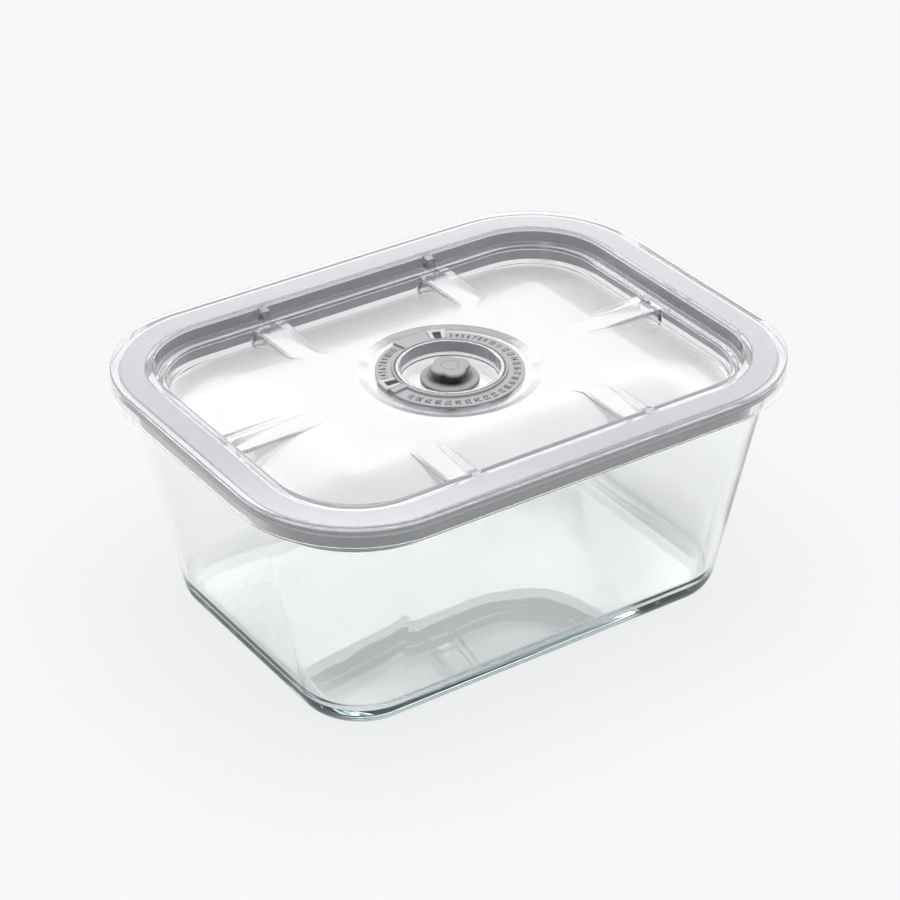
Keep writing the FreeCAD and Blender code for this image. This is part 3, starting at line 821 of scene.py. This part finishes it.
def under_rings():
    """Rings out along the panel's lower face, round the gasket's channel and down to the skirt's foot."""
    panel_end = POCKET_EDGE - 0.3
    blend = [(INMOST, share) for share in reversed(BLEND_SHARES)]
    panel = [(mix(INMOST, panel_end, step / (PANEL_ROWS - 1)), 0.0) for step in range(PANEL_ROWS)]
    rim = rounded_section([
        (POCKET_EDGE, POCKET_UNDER, 0), (POCKET_EDGE + LID_WALL, POCKET_UNDER, POCKET_UNDER_ROUND),
        (LEDGE_IN + LID_WALL, LEDGE_UNDER, UNDER_ROUND), (CHANNEL_IN, LEDGE_UNDER, BROW_ROUND),
        (CHANNEL_IN, CHANNEL_TOP, CHANNEL_ROUND), (SKIRT_IN, CHANNEL_TOP, CHANNEL_ROUND),
        (SKIRT_IN, SKIRT_BOTTOM, BROW_ROUND), (SKIRT_OUT, SKIRT_BOTTOM, 0)], closed=False)[:-1]
    return rings_of("blend_under", blend) + rings_of("panel_under", panel) + rings_of("rim", rim)


def lid_point(station, kind, across, up):
    """Where a ring of the lid passes a station. A blend's height is its share of the way to the dial."""
    if kind == "turn":
        x, y, _ = rim_point(station, INMOST, up)
        return polar(across, math.atan2(y, x), up)
    x, y, _ = rim_point(station, across, up)
    if kind in ("blend", "blend_under"):
        dial_x, dial_y, _ = polar(DIAL_REACH, math.atan2(y, x), up)
        return panel_point(mix(x, dial_x, up), mix(y, dial_y, up), kind == "blend_under")
    if kind in ("panel", "panel_under"):
        return panel_point(x, y, kind == "panel_under")
    if kind == "pocket":
        return x, y, max(up, panel_point(x, y, False)[2])
    share = gusset_share(x, station[3])
    if kind == "wall" and share > 0:
        face = min(FLANGE_IN - gusset_depth(up), across)
        return rim_point(station, mix(across, face, share), up)
    if kind == "ledge" and share > 0:
        along = clamp((GUSSET_LEDGE_START - across) / LEDGE_WIDTH)
        toe = min(mix(FLANGE_IN - GUSSET_TOE, LEDGE_IN, along), across)
        return rim_point(station, mix(across, toe, share), up)
    return x, y, up


def satin_share(x, y):
    """1 on the satin panel, whose white is partly painted sheen; 0 on the polished rim, on the dial's rim
    and inside the ring's seat.
    """
    radius = math.hypot(x, y)
    if DIAL_EDGE < radius < CLEAR_RIM_OUT or radius < CLEAR_COLLAR_OUT:
        return 0.0
    inward = min(HALF_X + LEDGE_IN - abs(x), HALF_Y + LEDGE_IN - abs(y))
    return ease((inward - SATIN_AND_SHEEN_START) / SATIN_AND_SHEEN_RUN)


def lid_shell():
    """Clear lid in one moulding. The panel inside the ledge is satin, its white colour partly a painted
    sheen.
    """
    rings = rim_rings() + panel_rings() + dial_rings() + under_rings()
    points = [lid_point(station, *ring) for ring in rings for station in STATIONS]
    piece = finish_mesh("lid_moulding", points, grid_faces(len(rings), len(STATIONS), True))
    satin = piece.data.attributes.new("satin", "FLOAT", "POINT")
    for vertex, value in zip(piece.data.vertices, satin.data):
        value.value = satin_share(vertex.co.x / MM, vertex.co.y / MM)
    return dress(piece, "lid", "clear_plastic", CLEAR, "lid_shell")


# Gasket


def lid_gasket():
    """Silicone seal: web over the glass rim, with a step round its outer face, and an inner lip."""
    outside = SKIRT_IN + GASKET_PRESSED
    inside = CHANNEL_IN + GASKET_SIDE_GAP
    lip = inside + GASKET_LIP
    top = CHANNEL_TOP + GASKET_PRESSED
    foot = GASKET_LOW.z - GASKET_LIP_DEEPER
    step_in = outside - GASKET_STEP_IN
    step_up = RIM_TOP + GASKET_STEP_RISE
    section = rounded_section([
        (step_in, top, GASKET_ROUND), (inside, top, GASKET_ROUND), (inside, foot, GASKET_ROUND),
        (lip, foot, GASKET_ROUND), (lip, RIM_TOP, GASKET_INNER_ROUND), (outside, RIM_TOP, GASKET_ROUND),
        (outside, step_up, GASKET_INNER_ROUND),
        (step_in, step_up + GASKET_STEP_LEAN, GASKET_STEP_ROUND)], steps=4)
    faces = grid_faces(len(section), len(STATIONS), True)
    piece = finish_mesh("silicone_gasket", swept_points(section), faces)
    return dress(piece, "lid", "gasket_silicone", GASKET, "lid_gasket")


# Dial


def date_ring():
    """Dial ring with its inner lip, track and two dividers."""
    foot = RING_LOW.z
    under = RING_UNDER + CONTACT
    section = rounded_section([
        (RING_IN, foot, LIP_FOOT_ROUND), (RING_LIP, foot, LIP_FOOT_ROUND), (RING_LIP, under, 0),
        (RING_OUT, under, RING_ROUND), (RING_OUT, RING_TRACK, TRACK_EDGE_ROUND),
        (RING_LIP, RING_TRACK, RING_ROUND), (RING_LIP, RING_LIP_TOP, LIP_ROUND),
        (RING_IN, RING_LIP_TOP, LIP_ROUND)], steps=3)
    parts = [turned_piece("ring", section, RING_SIDES)]
    for start, sweep in (DAY_DIVIDER, MONTH_DIVIDER):
        parts.append(arc_block("divider", RING_IN + DIVIDER_INSET, RING_OUT, RING_TRACK - DIVIDER_ROOT,
                               RING_HIGH.z, start, sweep, DIVIDER_BEVEL))
    piece = join("dial_ring", parts)
    return dress(piece, "lid", "dial_plastic", DIAL, "date_ring")


def numeral_mesh(text, angle):
    """One numeral bent round the track with its top outward, as a mesh."""
    letters = bpy.data.curves.new("numeral", "FONT")
    letters.body = text
    letters.align_x = "CENTER"
    letters.align_y = "CENTER"
    letters.size = NUMERAL_HEIGHT / FONT_CAP_SHARE
    letters.space_character = NUMERAL_SPACING
    letters.extrude = NUMERAL_HALF_THICK
    letters.offset = NUMERAL_STROKE
    holder = bpy.data.objects.new("numeral", letters)
    mesh = bpy.data.meshes.new_from_object(holder)
    bpy.data.objects.remove(holder)
    for vertex in mesh.vertices:
        across, up, thick = vertex.co
        turn = math.radians(angle) - across * NUMERAL_SQUEEZE / NUMERAL_RADIUS
        vertex.co = Vector(polar(NUMERAL_RADIUS + up, turn, RING_TRACK + NUMERAL_LIFT + thick)) * MM
    return mesh


def dial_numerals():
    """Plain day and month numerals printed on the track."""
    print_shape = bmesh.new()
    for first, last, start, step in NUMERAL_RUNS:
        for number in range(first, last + 1):
            print_shape.from_mesh(numeral_mesh(str(number), start - step * (number - first)))
    mesh = bpy.data.meshes.new("dial_numerals")
    print_shape.to_mesh(mesh)
    print_shape.free()
    piece = bpy.data.objects.new("dial_numerals", mesh)
    bpy.context.scene.collection.objects.link(piece)
    return dress(piece, "lid", "dial_plastic", INK_AND_SHADE)


def slider(name, node, body, middle):
    """Forked pointer: two arms, an end bar and a skirt that hooks under the ring, and a near-black plate
    in its slot that is painted shade.
    """
    low = RING_TRACK + POINTER_GAP
    high = low + POINTER_THICK
    inner = RING_LIP + 2 * POINTER_GAP
    edge = RING_OUT + POINTER_GAP
    bar = edge - POINTER_BAR
    skirt = edge + POINTER_SKIRT
    hook_in = RING_SEAT + 2 * POINTER_GAP
    hook_top = RING_UNDER - POINTER_GAP
    hook_low = hook_top - HOOK_THICK
    window = WINDOW_SWEEP / 2
    bar_half = window + BAR_OVERLAP
    start = middle - POINTER_SWEEP / 2
    arm_sweep = POINTER_SWEEP / 2 - window
    parts = [
        arc_block("arm", inner, edge, low, high, start, arm_sweep, POINTER_BEVEL),
        arc_block("arm", inner, edge, low, high, middle + window, arm_sweep, POINTER_BEVEL),
        arc_block("bar", bar, edge, low, high, middle - bar_half, 2 * bar_half, POINTER_BEVEL),
        arc_block("skirt", edge, skirt, hook_low, high, start, POINTER_SWEEP, POINTER_BEVEL),
        arc_block("hook", hook_in, edge, hook_low, hook_top, start, POINTER_SWEEP, FINE_BEVEL),
    ]
    piece = join(name, parts)
    dress(piece, body, "pointer_plastic", POINTER, node)
    # Painted shade: a near-black plate under the window stands for the shade inside the slot.
    shade_plate = arc_block(name + "_slot_shade", inner, bar, low, low + SHADE_PLATE_THICK,
                           middle - window, WINDOW_SWEEP, FINE_BEVEL)
    dress(shade_plate, body, "pointer_plastic", INK_AND_SHADE)


# Valve


def pull_valve():
    """Silicone valve: dished disc with a tab, stem, four-lobed knob, pin and bulb."""
    rest = WELL_FLOOR + CONTACT
    knob_top = VALVE_HIGH.z
    knob_under = knob_top - KNOB_THICK
    lower = valve_disc(rest, knob_under + STEM_OVERLAP)
    knob = knob_piece(knob_under, knob_top)
    piece = join("silicone_valve", [lower, knob, valve_tab(rest)])
    return dress(piece, "valve", "valve_silicone", VALVE, "pull_valve")


def valve_disc(rest, stem_top):
    """The turned part of the valve: bulb, pin, dished disc and stem."""
    disc = VALVE_HIGH.y
    disc_top = WELL_FLOOR + DISC_THICK
    dish = disc_top - DISH_DEPTH
    bulb_low = VALVE_LOW.z
    bulb_top = bulb_low + BULB_HEIGHT
    section = rounded_section([
        (AXIS, bulb_low, 0), (BULB, bulb_low, BULB_ROUND), (BULB, bulb_top, BULB_TOP_ROUND),
        (PIN, bulb_top, PIN_ROUND), (PIN, rest, PIN_ROUND), (disc, rest, DISC_FOOT_ROUND),
        (disc, disc_top, DISC_ROUND), (disc - DISC_RIM, disc_top, DISC_ROUND),
        (STEM + DISH_FLAT, dish, DISH_ROUND), (STEM, dish, STEM_ROUND), (STEM, stem_top, 0),
        (AXIS, stem_top, 0)], closed=False)
    return turned_piece("disc", section, DISC_SIDES, loop=False)


def valve_tab(rest):
    """Small tab on the disc's edge."""
    disc = VALVE_HIGH.y
    half = math.degrees(TAB_HALF / disc)
    reach = VALVE_LOW.x / math.cos(math.radians(TAB_AT))
    return arc_block("tab", disc - TAB_ROOT, reach, rest, rest + TAB_THICK,
                     TAB_AT - half, 2 * half, TAB_BEVEL)


def lobe_reach(angle):
    """How far a round lobe reaches from the middle of the knob at an angle from its own axis."""
    across = LOBE_OFFSET * math.sin(angle)
    return LOBE_OFFSET * math.cos(angle) + math.sqrt(LOBE * LOBE - across * across)


def knob_edge(turn):
    """How far the knob's outline reaches at a turn, with soft waists between its lobes."""
    lobe_turns = [LOBE_TURN + 2 * math.pi * lobe / LOBE_COUNT for lobe in range(LOBE_COUNT)]
    reaches = sorted(lobe_reach(turn - lobe_turn) for lobe_turn in lobe_turns)
    return smooth_max(reaches[-2], reaches[-1], WAIST)


def knob_piece(under, top):
    """Four-lobed knob with rounded edges and a fine ring on its top."""
    outline = [(-KNOB_UNDER_IN, under)]
    for across, up in arc(0, under + KNOB_ROUND, KNOB_ROUND, -math.pi / 2, math.pi / 2, 10):
        outline.append((across - KNOB_ROUND, min(up, top)))
    outline.append((-KNOB_TOP_IN, top))
    rings = [(GATE + 2 * GATE_FINE, top), (GATE + GATE_FINE, top - GATE_FINE),
             (GATE - GATE_FINE, top - GATE_FINE), (GATE - 2 * GATE_FINE, top), (AXIS, top)]
    turns = [2 * math.pi * step / KNOB_SIDES for step in range(KNOB_SIDES)]
    points = [polar(AXIS, turn, under + KNOB_HOLLOW) for turn in turns]
    points += [polar(knob_edge(turn) + across, turn, up) for across, up in outline for turn in turns]
    points += [polar(radius, turn, up) for radius, up in rings for turn in turns]
    row_count = len(points) // KNOB_SIDES
    return finish_mesh("knob", points, grid_faces(row_count, KNOB_SIDES, False), SHARP_KNOB)


# Stage, light and camera

# Directions in the room, and how far round towards them their light begins and is full
BEHIND = (0.563, 0.826, 0.0)
BESIDE = (0.826, -0.563, 0.0)
BEHIND_SPAN = (-0.25, 0.35)
CARD_SPAN = (0.72, 0.9)

# What the camera sees round the object
BACKGROUND = (0.917, 0.922, 0.922, 1)

# Light as (height, level) pairs, from 0 at the horizon to 1 straight up
LAMP_LEVELS = ((0.0, 0.04), (0.7, 0.08), (0.92, 3.0), (1.0, 3.6))
ROOM_FRONT = ((0.0, 0.2), (0.12, 0.5), (0.25, 1.3), (0.5, 1.3), (0.66, 0.6), (1.0, 0.7))
ROOM_BEHIND = ((0.0, 0.4), (0.34, 0.5), (0.42, 3.0), (0.48, 2.5), (0.515, 1.9), (0.525, 1.9), (0.55, 4.5),
               (0.64, 4.5), (0.74, 0.8), (1.0, 0.8))
CARD_LEVELS = ((0.0, 0.02), (0.3, 0.05), (0.45, 1.2), (0.7, 1.2), (1.0, 0.8))

# The floor in metres. Its glow in glass goes by distance, where 1 is FLOOR_SPAN times the tub's foot.
# That glow is low under the tub's foot, a painted shadow, and fades far off.
FLOOR_HALF = 6.0
FLOOR_GAP = 0.0003
FLOOR_SPAN = 8.0
FLOOR_MATT = (0.28, 0.282, 0.282)
FLOOR_MATT_CHANGE = 0.004
FLOOR_GLOW = (0.615, 0.62, 0.62)
FLOOR_IN_GLASS_WITH_PAINTED_SHADOW = ((0.0, 0.22), (0.11, 0.22), (0.17, 0.62), (0.5, 0.62), (1.0, 0.06))

# The camera, fitted to the photograph: its place in metres, its lens and sensor in millimetres
CAMERA_PLACE = (-0.48496, -0.71219, 0.58376)
CAMERA_AZIMUTH = -34.255
CAMERA_ELEVATION = 31.505
CAMERA_LENS = 115.94
CAMERA_SENSOR = 36.0

# How often light may pass through or off clear pieces
CLEAR_BOUNCES = 48
SHADOW_BOUNCES = 24


def foot_distance(tree):
    """Distance from the middle of the floor, in shares of the tub's foot times FLOOR_SPAN."""
    foot_x = (HALF_X - GLASS_LEAN * RIM_TOP) * MM
    foot_y = (HALF_Y - GLASS_LEAN * RIM_TOP) * MM
    shrink = (1 / (foot_x * FLOOR_SPAN), 1 / (foot_y * FLOOR_SPAN), 0)
    place = tree.nodes.new("ShaderNodeTexCoord")
    feet = vector_math(tree, "MULTIPLY", place.outputs["Object"], shrink)
    return vector_math(tree, "LENGTH", feet.outputs["Vector"]).outputs["Value"]


def floor_material():
    """Pale floor that takes the object's shadow and shows the background colour. Seen through glass, its
    glow is painted darker under the tub, a painted shadow.
    """
    material, tree, shader = new_material("pale_floor")
    tree.nodes.remove(shader)
    matt = tree.nodes.new("ShaderNodeBsdfDiffuse")
    lighter = [level + FLOOR_MATT_CHANGE for level in FLOOR_MATT]
    vary_colour(tree, surface_noise(tree, 3.0), matt.inputs["Color"], FLOOR_MATT, lighter)
    dark = add_node(tree, "ShaderNodeEmission", Color=(0, 0, 0, 1))
    seen = add_node(tree, "ShaderNodeEmission", Color=(*FLOOR_GLOW, 1))
    through = tree.nodes.new("ShaderNodeEmission")
    # Painted shadow: the glow that glass shows is lower under the tub's foot.
    tree.links.new(level_ramp(tree, foot_distance(tree), FLOOR_IN_GLASS_WITH_PAINTED_SHADOW), through.inputs["Color"])
    camera_rays, glass_rays = ray_kinds(tree)
    glow = choose(tree, camera_rays, dark.outputs[0], seen.outputs[0])
    glow = choose(tree, glass_rays, glow, through.outputs[0])
    total = tree.nodes.new("ShaderNodeAddShader")
    tree.links.new(matt.outputs[0], total.inputs[0])
    tree.links.new(glow, total.inputs[1])
    tree.links.new(total.outputs[0], tree.nodes["Material Output"].inputs["Surface"])
    return material


def stage():
    """A wide pale floor just under the object."""
    corners = ((-1, -1), (1, -1), (1, 1), (-1, 1))
    points = [(x * FLOOR_HALF, y * FLOOR_HALF, -FLOOR_GAP) for x, y in corners]
    mesh = bpy.data.meshes.new("floor")
    mesh.from_pydata(points, [], [(0, 1, 2, 3)])
    floor = bpy.data.objects.new("floor", mesh)
    mesh.materials.append(floor_material())
    bpy.context.scene.collection.objects.link(floor)


def toward(tree, direction, vector, span):
    """0 to 1 as a direction turns towards a given one, through a span of their product."""
    facing = vector_math(tree, "DOT_PRODUCT", direction, vector)
    return rescale(tree, facing.outputs["Value"], 0.0, 1.0, span)


def room_colours(tree, direction, height):
    """The room that clear pieces show: its front, what is behind the object, and a card at each side."""
    front = level_ramp(tree, height, ROOM_FRONT)
    behind = level_ramp(tree, height, ROOM_BEHIND)
    room = blend_colours(tree, toward(tree, direction, BEHIND, BEHIND_SPAN), front, behind)
    cards = level_ramp(tree, height, CARD_LEVELS)
    other_side = [-part for part in BESIDE]
    right = toward(tree, direction, BESIDE, CARD_SPAN)
    left = toward(tree, direction, other_side, CARD_SPAN)
    return blend_colours(tree, either(tree, right, left), room, cards)


def light():
    """Soft lamps above for matt pieces, a room for clear ones and a plain background for the camera."""
    world = bpy.data.worlds.new("studio")
    bpy.context.scene.world = world
    world.use_nodes = True
    tree = world.node_tree
    plain = tree.nodes["Background"]
    plain.inputs["Color"].default_value = BACKGROUND
    place = tree.nodes.new("ShaderNodeTexCoord")
    direction = place.outputs["Generated"]
    split = tree.nodes.new("ShaderNodeSeparateXYZ")
    tree.links.new(direction, split.inputs["Vector"])
    height = split.outputs["Z"]
    lamps = tree.nodes.new("ShaderNodeBackground")
    tree.links.new(level_ramp(tree, height, LAMP_LEVELS), lamps.inputs["Color"])
    room = tree.nodes.new("ShaderNodeBackground")
    tree.links.new(room_colours(tree, direction, height), room.inputs["Color"])
    camera_rays, glass_rays = ray_kinds(tree)
    shown = choose(tree, glass_rays, lamps.outputs[0], room.outputs[0])
    shown = choose(tree, camera_rays, shown, plain.outputs[0])
    tree.links.new(shown, tree.nodes["World Output"].inputs["Surface"])


def camera():
    """The photograph's view."""
    azimuth, elevation = math.radians(CAMERA_AZIMUTH), math.radians(CAMERA_ELEVATION)
    level = math.cos(elevation)
    back = Vector((math.sin(azimuth) * level, -math.cos(azimuth) * level, math.sin(elevation)))
    view = bpy.data.cameras.new("camera")
    view.sensor_width = CAMERA_SENSOR
    view.lens = CAMERA_LENS
    holder = bpy.data.objects.new("camera", view)
    holder.location = CAMERA_PLACE
    holder.rotation_euler = back.to_track_quat("Z", "Y").to_euler()
    bpy.context.scene.collection.objects.link(holder)
    bpy.context.scene.camera = holder


glass_container()
lid_shell()
lid_gasket()
date_ring()
dial_numerals()
slider("day_pointer_frame", "day_slider", "day_pointer", DAY_AT)
slider("month_pointer_frame", "month_slider", "month_pointer", MONTH_AT)
pull_valve()
stage()
light()
camera()

scene = bpy.context.scene
scene.view_settings.view_transform = "Standard"
scene.cycles.max_bounces = CLEAR_BOUNCES
scene.cycles.glossy_bounces = CLEAR_BOUNCES
scene.cycles.transmission_bounces = CLEAR_BOUNCES
scene.cycles.transparent_max_bounces = SHADOW_BOUNCES
